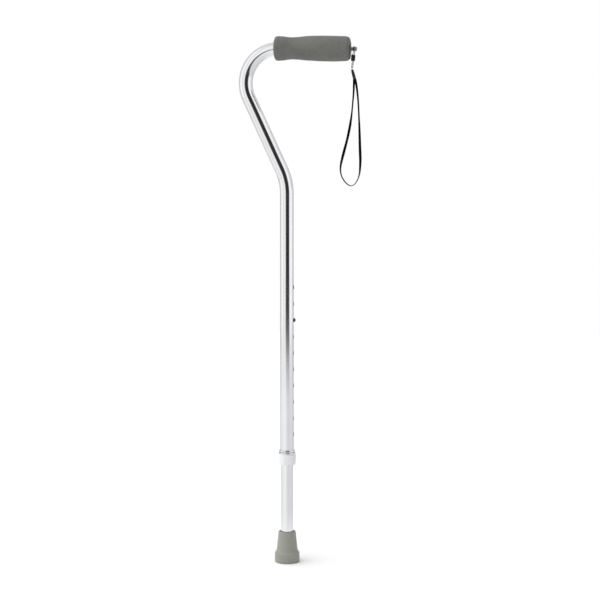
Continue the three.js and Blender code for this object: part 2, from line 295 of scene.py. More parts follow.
# %% [markdown]
# ## The wrist strap
# A thin braided cord is looped round the post at the grip's end. Both its strands run down through a
# bead into a moulded crimp, and a loop of flat webbing hangs from that. The cord and the webbing are
# soft, so their routes come first: each is one smooth line of the real length, under its own weight.

# %% Routes of the cord and the webbing
CORD_ROUTE = np.array([
    [100.0, 0, 764.0], [100.4, 0, 768.5], [100.9, 0, 774.0], [101.4, 0, 779.5], [101.8, 0, 784.7],
    [102.6, -1.7, 787.4], [103.4, -3.2, 790.2], [103.7, -3.75, 793.3], [103.7, -2.65, 795.7],
    [103.7, 0, 796.8], [103.7, 2.65, 795.7], [103.7, 3.75, 793.3], [104.0, 3.2, 790.2],
    [104.2, 1.7, 787.4], [104.0, 0, 784.7], [103.3, 0, 779.5], [102.7, 0, 774.0],
    [102.1, 0, 768.5], [101.6, 0, 764.1],
]) * MM

WEB_WIDE, WEB_THICK = 4.6 * MM, 1.2 * MM
WEB_ROUTE = np.insert([  # x and z, in the plane y = 0
    (103.8, 747.7), (103.6, 738), (103.1, 726), (101.9, 712), (100.2, 694), (97.3, 675),
    (93.0, 655), (89.5, 642), (86.1, 629), (83.8, 618.5), (83.4, 609.5), (85.3, 601.5),
    (89.3, 594.5), (94.2, 589.6), (99.9, 587.2), (105.0, 589.6), (109.6, 596.2), (112.6, 605.5),
    (113.6, 616), (113.9, 628), (113.3, 643), (112.4, 671.5), (111.4, 694), (110.1, 716.5),
    (107.9, 736), (105.7, 748.0),
], 1, 0, axis=1) * MM

cord_line = smooth_line(CORD_ROUTE, 0.4 * MM)
web_line = smooth_line(WEB_ROUTE, 1.2 * MM)
print(f"cord {length_along(cord_line)[-1] / MM:.0f} mm, webbing {length_along(web_line)[-1] / MM:.0f} mm")

# %% [markdown]
# The cord is two yarns twisted together, so its section has two lobes that turn once every few
# millimetres. The webbing is a flat section that leans a little one way down each leg of the loop and
# lies edge-on round the bottom, as a limp ribbon does.

# %% Cord and webbing
TWIST_PITCH = 2.4 * MM
YARNS_R = 0.6 * MM
lobes = np.linspace(0, 2 * math.pi, 20, endpoint=False)
yarns = (YARNS_R * (0.9 + 0.1 * np.cos(2 * lobes)))[:, None]
cord_section = yarns * np.stack([np.cos(lobes), np.sin(lobes)], axis=-1)
cord_twist = 2 * math.pi * length_along(cord_line) / TWIST_PITCH
across_x = np.array([1.0, 0.0, 0.0])
across_y = np.array([0.0, 1.0, 0.0])
cord = surface("braided_cord", carried(cord_line, across_x, cord_section, cord_twist))

# Share of the webbing's length, and how far its face is turned there, in degrees.
LEAN = np.array([
    [0.0, 32], [0.1, 10], [0.14, 8], [0.22, 46], [0.28, 34], [0.33, 52], [0.38, 30], [0.42, 4], [0.56, 0],
    [0.6, -28], [0.66, -52], [0.74, -38], [0.84, -12], [0.9, -16], [1.0, -34],
])
share = length_along(web_line) / length_along(web_line)[-1]
ease = np.interp(share, LEAN[:, 0], LEAN[:, 1])
EASED_OVER = 25  # stations
window = np.hanning(EASED_OVER) / np.hanning(EASED_OVER).sum()
lean = np.convolve(np.pad(ease, EASED_OVER // 2, mode="edge"), window, mode="valid")
web_section = oval(WEB_WIDE, WEB_THICK, 28, power=4)
webbing = surface("webbing_loop", carried(web_line, across_y, web_section, np.radians(lean)))

# %% [markdown]
# Polyester yarn is matt with a soft sheen along the fibres. The braid and the weave are drawn from
# the UV map, which is in millimetres: two waves across each other raise and lower the surface as the
# threads cross, and a painted highlight makes the raised crowns lighter. Real threads are about 0.4 mm
# apart and would vanish, so they are drawn 0.6 mm apart on the cord and 0.9 mm apart on the webbing.

# %% Black braid and black webbing
def woven(name, thread_mm, tint, painted_crown_highlight):
    """Woven black polyester: threads every thread_mm both ways, with a painted highlight on their crowns."""
    material, tree, shader = finish(name, Roughness=0.95, Specular_IOR_Level=0.12)
    uv = add(tree, "ShaderNodeUVMap", uv_map="millimetres")
    split = add(tree, "ShaderNodeSeparateXYZ", {"Vector": uv.outputs["UV"]})
    waves = []
    for axis in ("X", "Y"):
        turns = add(tree, "ShaderNodeMath", {0: split.outputs[axis]}, operation="MULTIPLY")
        turns.inputs[1].default_value = 2 * math.pi / thread_mm
        waves.append(add(tree, "ShaderNodeMath", {0: turns.outputs[0]}, operation="SINE"))
    crossing = add(tree, "ShaderNodeMath", {0: waves[0].outputs[0], 1: waves[1].outputs[0]},
                   operation="MULTIPLY")
    crown = add(tree, "ShaderNodeMapRange", {"Value": crossing.outputs[0]}, From_Min=-1.0, From_Max=1.0)
    # Painted highlight: the raised crowns of the threads take the lighter colour.
    tone = add(tree, "ShaderNodeMix", {"Factor": crown.outputs["Result"]}, data_type="RGBA",
               A=linear(tint), B=linear(painted_crown_highlight))
    bump = add(tree, "ShaderNodeBump", {"Height": crown.outputs["Result"]}, Strength=0.35, Distance=0.12 * MM)
    feed(tree, shader, Base_Color=tone.outputs["Result"], Normal=bump.outputs["Normal"])
    return material


braid = woven("twisted polyester cord", 0.6, "#0a0a0b", "#1a1a1c")
tape = woven("woven polyester tape", 0.9, "#030303", "#101011")
dress(cord, braid, "strap", "strap_cord")
dress(webbing, tape, "loop", "strap_webbing")

# %% [markdown]
# The bead and the crimp are small black mouldings. The bead is an oval with a hole through it for
# the two strands, and the crimp is a flattened barrel with two grip rings and a mouth at each end.

# %% Bead and crimp
def leaning(points, lean, foot):
    """Points made upright, leaned by an angle about +Y and stood with their origin at foot."""
    cos, sin = math.cos(lean), math.sin(lean)
    x, z = points[..., 0], points[..., 2]
    moved = np.stack([x * cos + z * sin, points[..., 1], z * cos - x * sin], axis=-1)
    return moved + np.array(foot)


CORD_LEAN = math.atan2(2.2, 21.7)
BEAD_AT = (0.1024, 0, 0.7797)
bead_profile = filleted([
    (1.95, -4.2, 0), (2.3, -4.9, 0.25), (2.9, -4.4, 0.5), (3.35, -1.6, 1.2), (3.15, -0.5, 0.4),
    (3.15, 0.5, 0.4), (3.35, 1.6, 1.2), (2.9, 4.4, 0.5), (2.3, 4.9, 0.25), (1.95, 4.2, 0.3),
    (1.95, -4.2, 0),
])
bead_points, bead_uv = turned(bead_profile, 48)
bead = surface("cord_bead", [patch(leaning(bead_points, CORD_LEAN, BEAD_AT), bead_uv)])

CRIMP_LEAN = math.atan2(-3.9, 14.2)
CRIMP_AT = (0.1046, 0, 0.7484)
CRIMP_FLATNESS = 0.8
crimp_profile = filleted([
    (0, -0.8, 0), (2.3, -0.8, 0.2), (2.8, -0.5, 0.3), (3.0, 1.4, 0.5), (2.8, 2.4, 0.3),
    (3.0, 3.4, 0.3), (2.95, 7.0, 2.0), (2.6, 11.6, 0.6), (2.35, 12.0, 0.2), (2.5, 12.6, 0.3),
    (2.0, 14.5, 0.5), (0.9, 14.7, 0.1), (0.8, 14.1, 0.1), (0, 14.0, 0),
])
crimp_points, crimp_uv = turned(crimp_profile, 48)
crimp_points[..., 0] *= CRIMP_FLATNESS
crimp = surface("strap_crimp_barrel", [patch(leaning(crimp_points, CRIMP_LEAN, CRIMP_AT), crimp_uv)])

# %% [markdown]
# Injection-moulded ABS comes out of a fine-sparked steel mould with a soft satin skin: an even, low
# bump and a roughness that wanders a little where the skin cooled faster.

# %% Moulded plastic
def moulded(name, colour, paler, roughness, grain_mm):
    """Moulded plastic: a spark-eroded grain of grain_mm and slow drifts of colour and gloss."""
    material, tree, shader = finish(name, IOR=1.46)
    place = add(tree, "ShaderNodeTexCoord")
    grain = add(tree, "ShaderNodeTexNoise", {"Vector": place.outputs["Object"]},
                Scale=1 / (grain_mm * MM), Detail=2.0)
    drift = add(tree, "ShaderNodeTexNoise", {"Vector": place.outputs["Object"]}, Scale=90.0, Detail=3.0)
    tone = add(tree, "ShaderNodeMix", {"Factor": drift.outputs["Fac"]}, data_type="RGBA",
               A=linear(colour), B=linear(paler))
    gloss = add(tree, "ShaderNodeMapRange", {"Value": drift.outputs["Fac"]},
                To_Min=roughness - 0.06, To_Max=roughness + 0.08)
    bump = add(tree, "ShaderNodeBump", {"Height": grain.outputs["Fac"]}, Strength=0.25, Distance=0.04 * MM)
    feed(tree, shader, Base_Color=tone.outputs["Result"], Roughness=gloss.outputs["Result"],
         Normal=bump.outputs["Normal"])
    return material


black_abs = moulded("black moulded ABS", "#050505", "#0b0b0c", 0.4, 0.3)
grey_abs = moulded("grey moulded ABS", "#6f7072", "#7d7e80", 0.42, 0.3)
silver_abs = moulded("pale silver moulded acetal", "#e0e1e3", "#ecedee", 0.38, 0.35)
nylon = moulded("natural moulded nylon", "#dedbd0", "#e9e6dd", 0.5, 0.3)
dress(bead, black_abs, "bead", "strap_bead")
dress(crimp, black_abs, "loop", "strap_crimp")

# %% [markdown]
# ## The aluminium tubes
# A drawn tube is a circle carried along the line that the bender leaves: straight, a big bend at the
# back of the handle, a slanted run, a small bend and the straight shaft. The line is arcs and
# straights, so its points and directions are exact. The radii and ends come from the frame.

# %% The upper tube's line
def box(node):
    """The lowest and the highest corner of a node of the frame."""
    return [np.array(corner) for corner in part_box(node)]


tube_low, tube_high = box("upper_tube")
TUBE_R = (tube_high[1] - tube_low[1]) / 2
WALL = 1.25 * MM
BEND_R = 52.5 * MM
NECK_R = 85 * MM
SLANT = math.radians(25.1)
handle_z = tube_high[2] - TUBE_R
bend_x = tube_low[0] + TUBE_R + BEND_R


SHAFT_DRILLED = 0.29  # length of the shaft, from its lower end, that holds all the holes
STEPS_NECK, STEPS_BEND, STEPS_SLANT, STEPS_HANDLE = 30, 90, 24, 12


def tube_line(step):
    """Stations up the upper tube above its holes: points and directions, both as x and z."""
    slant_end = np.array([bend_x - BEND_R * math.cos(SLANT), handle_z - BEND_R * (1 + math.sin(SLANT))])
    neck_z = slant_end[1] + slant_end[0] / math.tan(SLANT) - NECK_R * math.tan(SLANT / 2)
    neck = np.linspace(0, SLANT, STEPS_NECK)
    bend = np.linspace(math.pi + SLANT, math.pi / 2, STEPS_BEND)
    neck_points = np.stack([NECK_R * (np.cos(neck) - 1), neck_z + NECK_R * np.sin(neck)], axis=-1)
    bend_points = np.array([bend_x, handle_z - BEND_R]) + BEND_R * np.stack(
        [np.cos(bend), np.sin(bend)], axis=-1)
    shaft_rows = np.arange(tube_low[2] + SHAFT_DRILLED, neck_z, step)
    shaft = np.stack([0 * shaft_rows, shaft_rows], axis=-1)
    slant = np.linspace(neck_points[-1], bend_points[0], STEPS_SLANT)[1:-1]
    handle = np.linspace(bend_points[-1], [tube_high[0], handle_z], STEPS_HANDLE)[1:]
    flat = np.concatenate([shaft, neck_points, slant, bend_points, handle])
    slant_way = np.repeat([[-math.sin(SLANT), math.cos(SLANT)]], len(slant), 0)
    ways = np.concatenate([
        np.repeat([[0.0, 1.0]], len(shaft), 0), np.stack([-np.sin(neck), np.cos(neck)], axis=-1),
        slant_way, np.stack([np.sin(bend), -np.cos(bend)], axis=-1),
        np.repeat([[1.0, 0.0]], len(handle), 0)])
    return flat, ways


bent_line, bent_ways = tube_line(6 * MM)
print(f"upper tube: {len(bent_line)} stations above the holes")

# %% [markdown]
# The adjusting holes are drilled through one wall of the shaft. Each hole sits in a square window cut
# out of the tube's grid, and rings of cells run from the hole's circle out to the window's edge. A
# countersink of 0.3 mm breaks the edge, and that is the fine rim that catches the light.

# %% A drilled tube
COLUMNS = 64
WINDOW = 5  # columns each side of the hole
HOLE_R = 3.3 * MM
COUNTERSINK = 0.3 * MM
RING_SHARES = np.array([0, 0.12, 0.35, 0.65, 1])[:, None]  # from the hole's circle to its window


def drilled_rows(low, high, holes, window, gap=5 * MM):
    """Heights of the grid's rows: even steps across each hole's window and about gap between."""
    edges = [low]
    for z in holes:
        edges += [z - window, z + window]
    edges.append(high)
    rows = []
    for i, (a, b) in enumerate(zip(edges[:-1], edges[1:])):
        count = 2 * WINDOW if i % 2 else max(1, round((b - a) / gap))
        rows.append(np.linspace(a, b, count, endpoint=False))
    return np.concatenate(rows + [[high]])


def wall_point(angle, radius, z):
    """Points on a wall of that radius about +Z."""
    return np.stack([radius * np.cos(angle), radius * np.sin(angle), z + 0 * angle], axis=-1)


def around_hole(z, window_angle, window):
    """Angles and heights of the window's edge, walked once round, and the matching directions."""
    side = np.linspace(-1, 1, 2 * WINDOW + 1)[:-1]
    one = np.ones_like(side)
    across = np.concatenate([side, one, -side, -one, side[:1]])
    up = np.concatenate([-one, side, one, -side, -one[:1]])
    return across * window_angle, z + up * window, np.arctan2(up, across)


def hole_rings(z, radius, outer, window):
    """Cells from the hole's circle to its window on the outside (outer) or the inside wall."""
    window_angle = 2 * math.pi * WINDOW / COLUMNS
    angle, height, way = around_hole(z, window_angle, window)
    r = HOLE_R + (COUNTERSINK if outer else 0)
    circle_angle = np.arcsin(r * np.cos(way) / radius)
    circle_height = z + r * np.sin(way)
    angles = circle_angle * (1 - RING_SHARES) + angle * RING_SHARES
    heights = circle_height * (1 - RING_SHARES) + height * RING_SHARES
    uv = np.stack([angles * TUBE_R, heights], axis=-1) / MM
    return patch(wall_point(angles, radius, heights), uv)


def hole_wall(z, outside, inside):
    """The hole's own wall, with its countersink: three rings from the outside to the inside."""
    way = around_hole(z, 1, 1)[2]
    reach = [HOLE_R + COUNTERSINK, HOLE_R, HOLE_R]
    radii = [outside, outside - COUNTERSINK, inside]
    rings = [wall_point(np.arcsin(r * np.cos(way) / s), s, z + r * np.sin(way))
             for r, s in zip(reach, radii)]
    uv = np.stack([np.stack([way * HOLE_R, 0 * way + s], axis=-1) for s in radii]) / MM
    return patch(np.stack(rings), uv)


def drilled_tube(outside, low, high, holes):
    """Patches of a straight tube about +Z with holes through its +X wall, open at both ends."""
    inside = outside - WALL
    window = 2 * math.pi * WINDOW / COLUMNS * outside
    rows = drilled_rows(low, high, holes, window)
    angle = np.linspace(-math.pi, math.pi, COLUMNS + 1)
    keep = np.ones((len(rows) - 1, COLUMNS), bool)
    middle = (rows[:-1] + rows[1:]) / 2
    for z in holes:
        inside_rows = np.abs(middle - z) < window
        keep[np.ix_(inside_rows, np.abs(np.arange(COLUMNS) + 0.5 - COLUMNS / 2) < WINDOW)] = False
    heights = rows[:, None] + 0 * angle
    uv = np.stack([angle * outside + 0 * heights, heights], axis=-1) / MM
    patches = []
    for radius in (outside, inside):
        patches.append(patch(wall_point(angle + 0 * heights, radius, heights), uv, keep))
        patches += [hole_rings(z, radius, radius == outside, window) for z in holes]
    patches += [hole_wall(z, outside, inside) for z in holes]
    return patches


# %% The upper tube
HOLE_PITCH = 25.4 * MM
button_low, button_high = box("snap_button")
button_z = (button_low[2] + button_high[2]) / 2
hole_heights = [button_z + i * HOLE_PITCH for i in range(-7, 3)]
DRILLED_TOP = bent_line[0, 1]


def bent_patches(flat, ways, radius):
    """A circle of radius carried along the bent line, starting with the same columns as the shaft."""
    angle = np.linspace(-math.pi, math.pi, COLUMNS + 1)
    side = np.stack([ways[:, 1], 0 * ways[:, 0], -ways[:, 0]], axis=-1)[:, None]
    middle = np.stack([flat[:, 0], 0 * flat[:, 0], flat[:, 1]], axis=-1)[:, None]
    ring = radius * np.cos(angle)[:, None] * side + radius * np.sin(angle)[:, None] * across_y
    run = (flat[0, 1] + length_along(flat))[:, None]
    uv = np.stack([angle * TUBE_R + 0 * run, run + 0 * angle], axis=-1) / MM
    return middle + ring, uv


tube_patches = drilled_tube(TUBE_R, tube_low[2], DRILLED_TOP, hole_heights)
outer_skin, outer_uv = bent_patches(bent_line, bent_ways, TUBE_R)
inner_skin, inner_uv = bent_patches(bent_line, bent_ways, TUBE_R - WALL)
tube_patches += [patch(outer_skin, outer_uv), patch(inner_skin, inner_uv)]
tube_patches.append(patch(np.stack([outer_skin[-1], inner_skin[-1]]), np.stack([outer_uv[-1]] * 2)))
shaft_angle = np.linspace(-math.pi, math.pi, COLUMNS + 1)
foot_ring = [wall_point(shaft_angle, r, tube_low[2]) for r in (TUBE_R, TUBE_R - WALL)]
tube_patches.append(patch(np.stack(foot_ring), np.stack([outer_uv[0]] * 2)))
upper_tube = surface("bent_tube", tube_patches)

# %% The lower tube
lower_low, lower_high = box("lower_tube")
LOWER_R = (lower_high[1] - lower_low[1]) / 2
lower_patches = drilled_tube(LOWER_R, lower_low[2], lower_high[2], [button_z])
for z in (lower_low[2], lower_high[2]):
    rim = np.stack([wall_point(shaft_angle, r, z) for r in (LOWER_R, LOWER_R - WALL)])
    lower_patches.append(patch(rim, np.stack([outer_uv[0]] * 2)))
lower_tube = surface("straight_tube", lower_patches)

# %% [markdown]
# Drawn aluminium tube is bright-dipped and clear-anodised. The dip leaves it almost a mirror, and the
# drawing die leaves hair-fine lines that run the tube's way, so its gloss is streaked lengthwise. It
# also carries a few faint rub marks. The lines are finer than can show, so they are drawn 0.4 mm wide.

# %% Bright aluminium
def drawn_metal(name, colour, darker, roughness):
    """Polished drawn metal: lines along the tube in gloss and height, over slow smudges."""
    material, tree, shader = finish(name, Metallic=1.0)
    uv = add(tree, "ShaderNodeUVMap", uv_map="millimetres")
    stretch = add(tree, "ShaderNodeMapping", {"Vector": uv.outputs["UV"]}, Scale=(1 / 0.4, 1 / 60, 1.0))
    lines = add(tree, "ShaderNodeTexNoise", {"Vector": stretch.outputs["Vector"]}, Scale=1.0, Detail=3.0)
    place = add(tree, "ShaderNodeTexCoord")
    smudge = add(tree, "ShaderNodeTexNoise", {"Vector": place.outputs["Object"]}, Scale=28.0, Detail=4.0)
    both = add(tree, "ShaderNodeMix", {"A": lines.outputs["Fac"], "B": smudge.outputs["Fac"]}, Factor=0.45)
    gloss = add(tree, "ShaderNodeMapRange", {"Value": both.outputs["Result"]}, From_Min=0.3, From_Max=0.7,
                To_Min=roughness - 0.03, To_Max=roughness + 0.05)
    tone = add(tree, "ShaderNodeMix", {"Factor": smudge.outputs["Fac"]}, data_type="RGBA",
               A=linear(colour), B=linear(darker))
    bump = add(tree, "ShaderNodeBump", {"Height": lines.outputs["Fac"]}, Strength=0.12, Distance=0.02 * MM)
    feed(tree, shader, Roughness=gloss.outputs["Result"], Base_Color=tone.outputs["Result"],
         Normal=bump.outputs["Normal"])
    return material


aluminium = drawn_metal("bright-dipped drawn aluminium", "#eceded", "#e2e3e5", 0.1)
dress(upper_tube, aluminium, "upper", "upper_tube")
dress(lower_tube, aluminium, "leg", "lower_tube")

# %% [markdown]
# ## The snap button
# The button is a turned steel pin with a domed head; its dark colour is painted shade and a painted
# dark reflection. It stands in the eighth hole, just proud enough for a thumb to find.

# %% Snap button
reach = (button_high[0] - button_low[0]) / MM
button_profile = filleted([
    (0, 0, 0), (2.9, 0, 0.2), (2.9, reach - 1.5, 1.0), (2.2, reach - 0.55, 0.9), (1.1, reach - 0.1, 1.2),
    (0, reach, 0),
], steps=6)
button_points, button_uv = turned(button_profile, 48)
button_skin = along_x(button_points, button_low[0], button_z)
button = surface("button_pin", [patch(button_skin, button_uv)])
# Painted shade and painted reflection: the button's steel is coloured dark.
steel = drawn_metal("dark steel, painted shade and reflection", "#4a4b4e", "#3a3b3e", 0.3)
dress(button, steel, "button", "snap_button")

# %% [markdown]
# ## The leaf spring
# A hairpin of rolled spring steel, 6 mm wide and 0.6 mm thick, stands inside the lower tube. One arm
# is behind the button and the other presses on the far wall. The first arm gives way when the button
# is pressed: its upper end rides with the button, and it bends from there down to the hairpin's foot.

# %% Leaf spring
LEAF_WIDE, LEAF_THICK = 6.0 * MM, 0.6 * MM
LEAF_ROUTE = np.insert([  # x, and z from the button's middle
    (7.0, 5), (7.0, -5), (5.2, -24), (3.4, -40), (0, -44), (-3.4, -40), (-5.6, -24), (-7.2, -6),
], 1, 0, axis=1) * MM
spring_line = smooth_line(LEAF_ROUTE + [0, 0, button_z], 0.8 * MM)
leaf_section = oval(LEAF_WIDE, LEAF_THICK, 40, power=8)
spring = surface("hairpin_leaf_spring", carried(spring_line, across_y, leaf_section))
rolled = drawn_metal("rolled spring steel", "#9a9c9f", "#85878b", 0.3)
dress(spring, rolled, None, "snap_spring")
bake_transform(spring)

# %% [markdown]
# ## The foam grip
# The grip is a moulded sleeve of closed-cell foam, pulled over the tube wet. Its outside is one smooth
# line of radii turned about the handle: a bulb at the back, a waist for the fingers and a long swell
# for the palm. A finely ribbed band and a shallow groove finish each end.

# %% Foam grip
GRIP = np.array([
    [15.6, 0.0], [17.2, 0.7], [18.2, 2.2], [18.6, 5.0], [18.35, 11.0], [17.6, 16.5], [16.85, 22.0],
    [16.65, 28.0], [17.0, 34.0], [17.6, 40.5], [18.25, 47.0], [18.6, 54.0], [18.95, 62.0],
    [19.2, 70.0], [19.3, 80.0], [19.3, 90.0], [19.05, 98.0], [18.8, 106.0], [18.3, 110.6],
    [17.3, 113.0], [16.1, 114.2], [14.4, 114.7],
]) * MM
GRIP_BORE, GRIP_HOLE, END_WALL = 11.8 * MM, 5.0 * MM, 4.2 * MM
GRIP_SAG = 1.0 * MM  # how much lower the palm's end hangs than the other
SAG_FROM, SAG_TO = 45 * MM, 100 * MM
SKIN_R = 12.8 * MM  # farther out than this is the outside
GROOVES = np.array([9.6, 102.5]) * MM
GROOVE_WIDE, GROOVE_DEEP = 0.55 * MM, 0.5 * MM
BANDS = np.array([(2.6, 3.6, 8.2, 9.0), (103.4, 104.2, 109.8, 110.8)]) * MM  # rise and fall of each
BAND_RIBS, BAND_RIB_DEEP = 60, 0.25 * MM
grip_low, grip_high = box("foam_grip")
GRIP_LONG = grip_high[0] - grip_low[0]


def fine(profile, step):
    """The same line with a point at least every step."""
    parts = []
    for a, b in zip(profile[:-1], profile[1:]):
        count = max(1, math.ceil(np.linalg.norm(b - a) / step))
        parts.append(np.linspace(a, b, count, endpoint=False))
    return np.concatenate(parts + [profile[-1:]])


def smooth_step(x, low, high):
    """0 below low, 1 above high, and 3t^2 - 2t^3 between them."""
    t = np.clip((x - low) / (high - low), 0, 1)
    return t * t * (3 - 2 * t)


def grip_relief(angle, along, radius):
    """A rounded groove near each end, and outside it a band lowered by 0.25 mm, with upright ribs
    that rise back to the surface as a cosine of the angle."""
    outside = smooth_step(radius, 13.5 * MM, 15.5 * MM)
    groove = sum(np.exp(-((along - g) / GROOVE_WIDE) ** 2) for g in GROOVES)
    band = sum(smooth_step(along, a, b) * smooth_step(-along, -d, -c) for a, b, c, d in BANDS)
    ribs = (0.5 + 0.5 * np.cos(BAND_RIBS * angle)) * band
    return outside * (BAND_RIB_DEEP * (ribs - 1) * (band > 0) - GROOVE_DEEP * groove)


grip_side = smooth_line(np.column_stack([GRIP, 0 * GRIP[:, 0]]), 0.55 * MM)[:, :2]
grip_inside = np.array([
    [GRIP_HOLE + 0.5 * MM, GRIP_LONG], [GRIP_HOLE, GRIP_LONG - 0.5 * MM],
    [GRIP_HOLE, GRIP_LONG - END_WALL], [GRIP_BORE, GRIP_LONG - END_WALL], [GRIP_BORE, 0.6 * MM],
    [GRIP_BORE + 0.6 * MM, 0], [GRIP[0, 0], 0],
])
grip_profile = np.concatenate([grip_side, fine(grip_inside, 6 * MM)])
grip_points, grip_uv = turned(grip_profile, 360, grip_relief)
hangs = smooth_step(grip_points[..., 2], SAG_FROM, SAG_TO)
grip_points[..., 0] += GRIP_SAG * hangs * (np.hypot(grip_points[..., 0], grip_points[..., 1]) > SKIN_R)
grip = surface("grip_sleeve", [patch(along_x(grip_points, grip_low[0], handle_z), grip_uv)], sharp=60)

# %% [markdown]
# The foam is nitrile rubber with talc on it, so it is dull, a warm grey, and full of tiny broken
# bubbles. Cells about half a millimetre across, drawn in the height and in the colour, make it read
# as foam and not as plastic, and slow patches are where hands have rubbed it a little smoother.

# %% Foam rubber
foam, tree, shader = finish("moulded nitrile foam", IOR=1.45, Specular_IOR_Level=0.3)
place = add(tree, "ShaderNodeTexCoord")
cells = add(tree, "ShaderNodeTexVoronoi", {"Vector": place.outputs["Object"]}, Scale=1 / (0.55 * MM))
fuzz = add(tree, "ShaderNodeTexNoise", {"Vector": place.outputs["Object"]}, Scale=1 / (0.9 * MM), Detail=3.0)
rubbed = add(tree, "ShaderNodeTexNoise", {"Vector": place.outputs["Object"]}, Scale=35.0, Detail=3.0)
pores = add(tree, "ShaderNodeMapRange", {"Value": cells.outputs["Distance"]}, From_Max=0.7)
height = add(tree, "ShaderNodeMix", {"A": pores.outputs["Result"], "B": fuzz.outputs["Fac"]}, Factor=0.45)
speckle = add(tree, "ShaderNodeMix", {"A": fuzz.outputs["Fac"], "B": rubbed.outputs["Fac"]}, Factor=0.55)
spread = add(tree, "ShaderNodeMapRange", {"Value": speckle.outputs["Result"]}, From_Min=0.35, From_Max=0.65)
tint = add(tree, "ShaderNodeMix", {"Factor": spread.outputs["Result"]}, data_type="RGBA",
           A=linear("#646461"), B=linear("#787874"))
dull = add(tree, "ShaderNodeMapRange", {"Value": rubbed.outputs["Fac"]}, To_Min=0.72, To_Max=0.9)
bump = add(tree, "ShaderNodeBump", {"Height": height.outputs["Result"]}, Strength=0.5, Distance=0.12 * MM)
feed(tree, shader, Base_Color=tint.outputs["Result"], Roughness=dull.outputs["Result"],
     Normal=bump.outputs["Normal"])
dress(grip, foam, "upper", "foam_grip")

# %% [markdown]
# ## The end plug and its post
# A plug closes the tube's open end. Its post comes out through the foam's end and has a rim, so the
# strap's cord can turn on it but not slip off.

# %% End plug
POST_Z = 793.0 * MM
FLANGE_END = 92.4
plug_body = filleted([
    (0, 74, 0), (8.9, 74, 0.3), (9.35, 75, 0.3), (9.35, 90.3, 0), (11.1, 90.3, 0.2),
    (11.1, FLANGE_END, 0.3), (0, FLANGE_END, 0),
])
post_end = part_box("grip_end_plug")[1][0] / MM
post = filleted([
    (0, FLANGE_END - 1, 0), (2.9, FLANGE_END - 1, 0), (2.9, 105.6, 0.3), (3.6, 106.0, 0.3),
    (3.6, post_end - 0.6, 0.5), (2.8, post_end, 0.3), (0.9, post_end, 0.2), (0.7, post_end - 0.5, 0.2),
    (0, post_end - 0.5, 0),
])
body_points, body_uv = turned(plug_body, 64)
post_points, post_uv = turned(post, 40)
plug = surface("plug_and_post", [
    patch(along_x(body_points, 0, handle_z), body_uv), patch(along_x(post_points, 0, POST_Z), post_uv)])
dress(plug, grey_abs, "upper", "grip_end_plug")

# %% [markdown]
# ## The lock
# A flanged sleeve is pressed on the upper tube and a ribbed ring screws on below it. Turning the ring
# draws it up and squeezes a split collet on the lower tube, which stops the rattle.

# %% Lock sleeve and lock ring
sleeve_low, sleeve_high = [corner[2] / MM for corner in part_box("lock_sleeve")]
sleeve_profile = filleted([
    (9.925, sleeve_low, 0.0), (12.15, sleeve_low, 0.4), (12.15, sleeve_high - 3.4, 0.2),
    (12.9, sleeve_high - 3.1, 0.2), (13.1, sleeve_high - 2.7, 0.2), (12.6, sleeve_high - 2.2, 0.15),
    (13.0, sleeve_high - 1.8, 0.3), (12.6, sleeve_high - 0.4, 0.6), (12.0, sleeve_high, 0.3),
    (11.5, sleeve_high, 0.2), (11.5, 162.7, 0.2), (9.925, 162.7, 0.2),
    (9.925, sleeve_low, 0.0),
])
sleeve_points, sleeve_uv = turned(sleeve_profile, 96)
sleeve = surface("threaded_sleeve", [patch(sleeve_points, sleeve_uv)])

ring_low, ring_high = [corner[2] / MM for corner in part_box("lock_ring")]
ring_profile = filleted([
    (9.925, ring_low, 0), (13.0, ring_low, 0.3), (13.25, ring_low + 0.5, 0.3), (13.25, 169.8, 0.2),
    (12.8, 170.1, 0.2), (12.8, 171.2, 0), (12.45, 171.2, 0), (12.45, 156.3, 0.3), (9.925, 156.3, 0.2),
    (9.925, ring_low, 0),
])
band_profile = filleted([
    (12.45, 170.7, 0), (13.1, 170.7, 0.3), (13.45, 171.5, 0.8), (13.4, ring_high - 0.9, 0.8),
    (12.9, ring_high, 0.4), (12.45, ring_high, 0), (12.45, 170.7, 0),
])


RING_RIBS, RING_RIB_HIGH = 36, 0.3 * MM


def ring_ribs(angle, height, radius):
    """Ribs between the ring's two rims, flat-topped with soft flanks."""
    band = smooth_step(height, 155.6 * MM, 156.4 * MM) * smooth_step(-height, -169.0 * MM, -168.2 * MM)
    top = smooth_step(np.cos(RING_RIBS * angle), -0.35, 0.35)
    return np.where(radius > 13.0 * MM, RING_RIB_HIGH * band * top, 0)


ring_points, ring_uv = turned(fine(ring_profile, 0.5 * MM), 432, ring_ribs)
ring = surface("ribbed_lock_ring", [patch(ring_points, ring_uv)], sharp=50)
band_points, band_uv = turned(band_profile, 96)
band = surface("lock_ring_band", [patch(band_points, band_uv)])
dress(ring, silver_abs, "ring", "lock_ring")

# %% [markdown]
# The sleeve's flange and the band at the ring's top are metallised: a film of aluminium, put on the
# moulding in a vacuum and lacquered. It is as bright as the tube but softer, because the lacquer
# flows into a faint orange-peel.

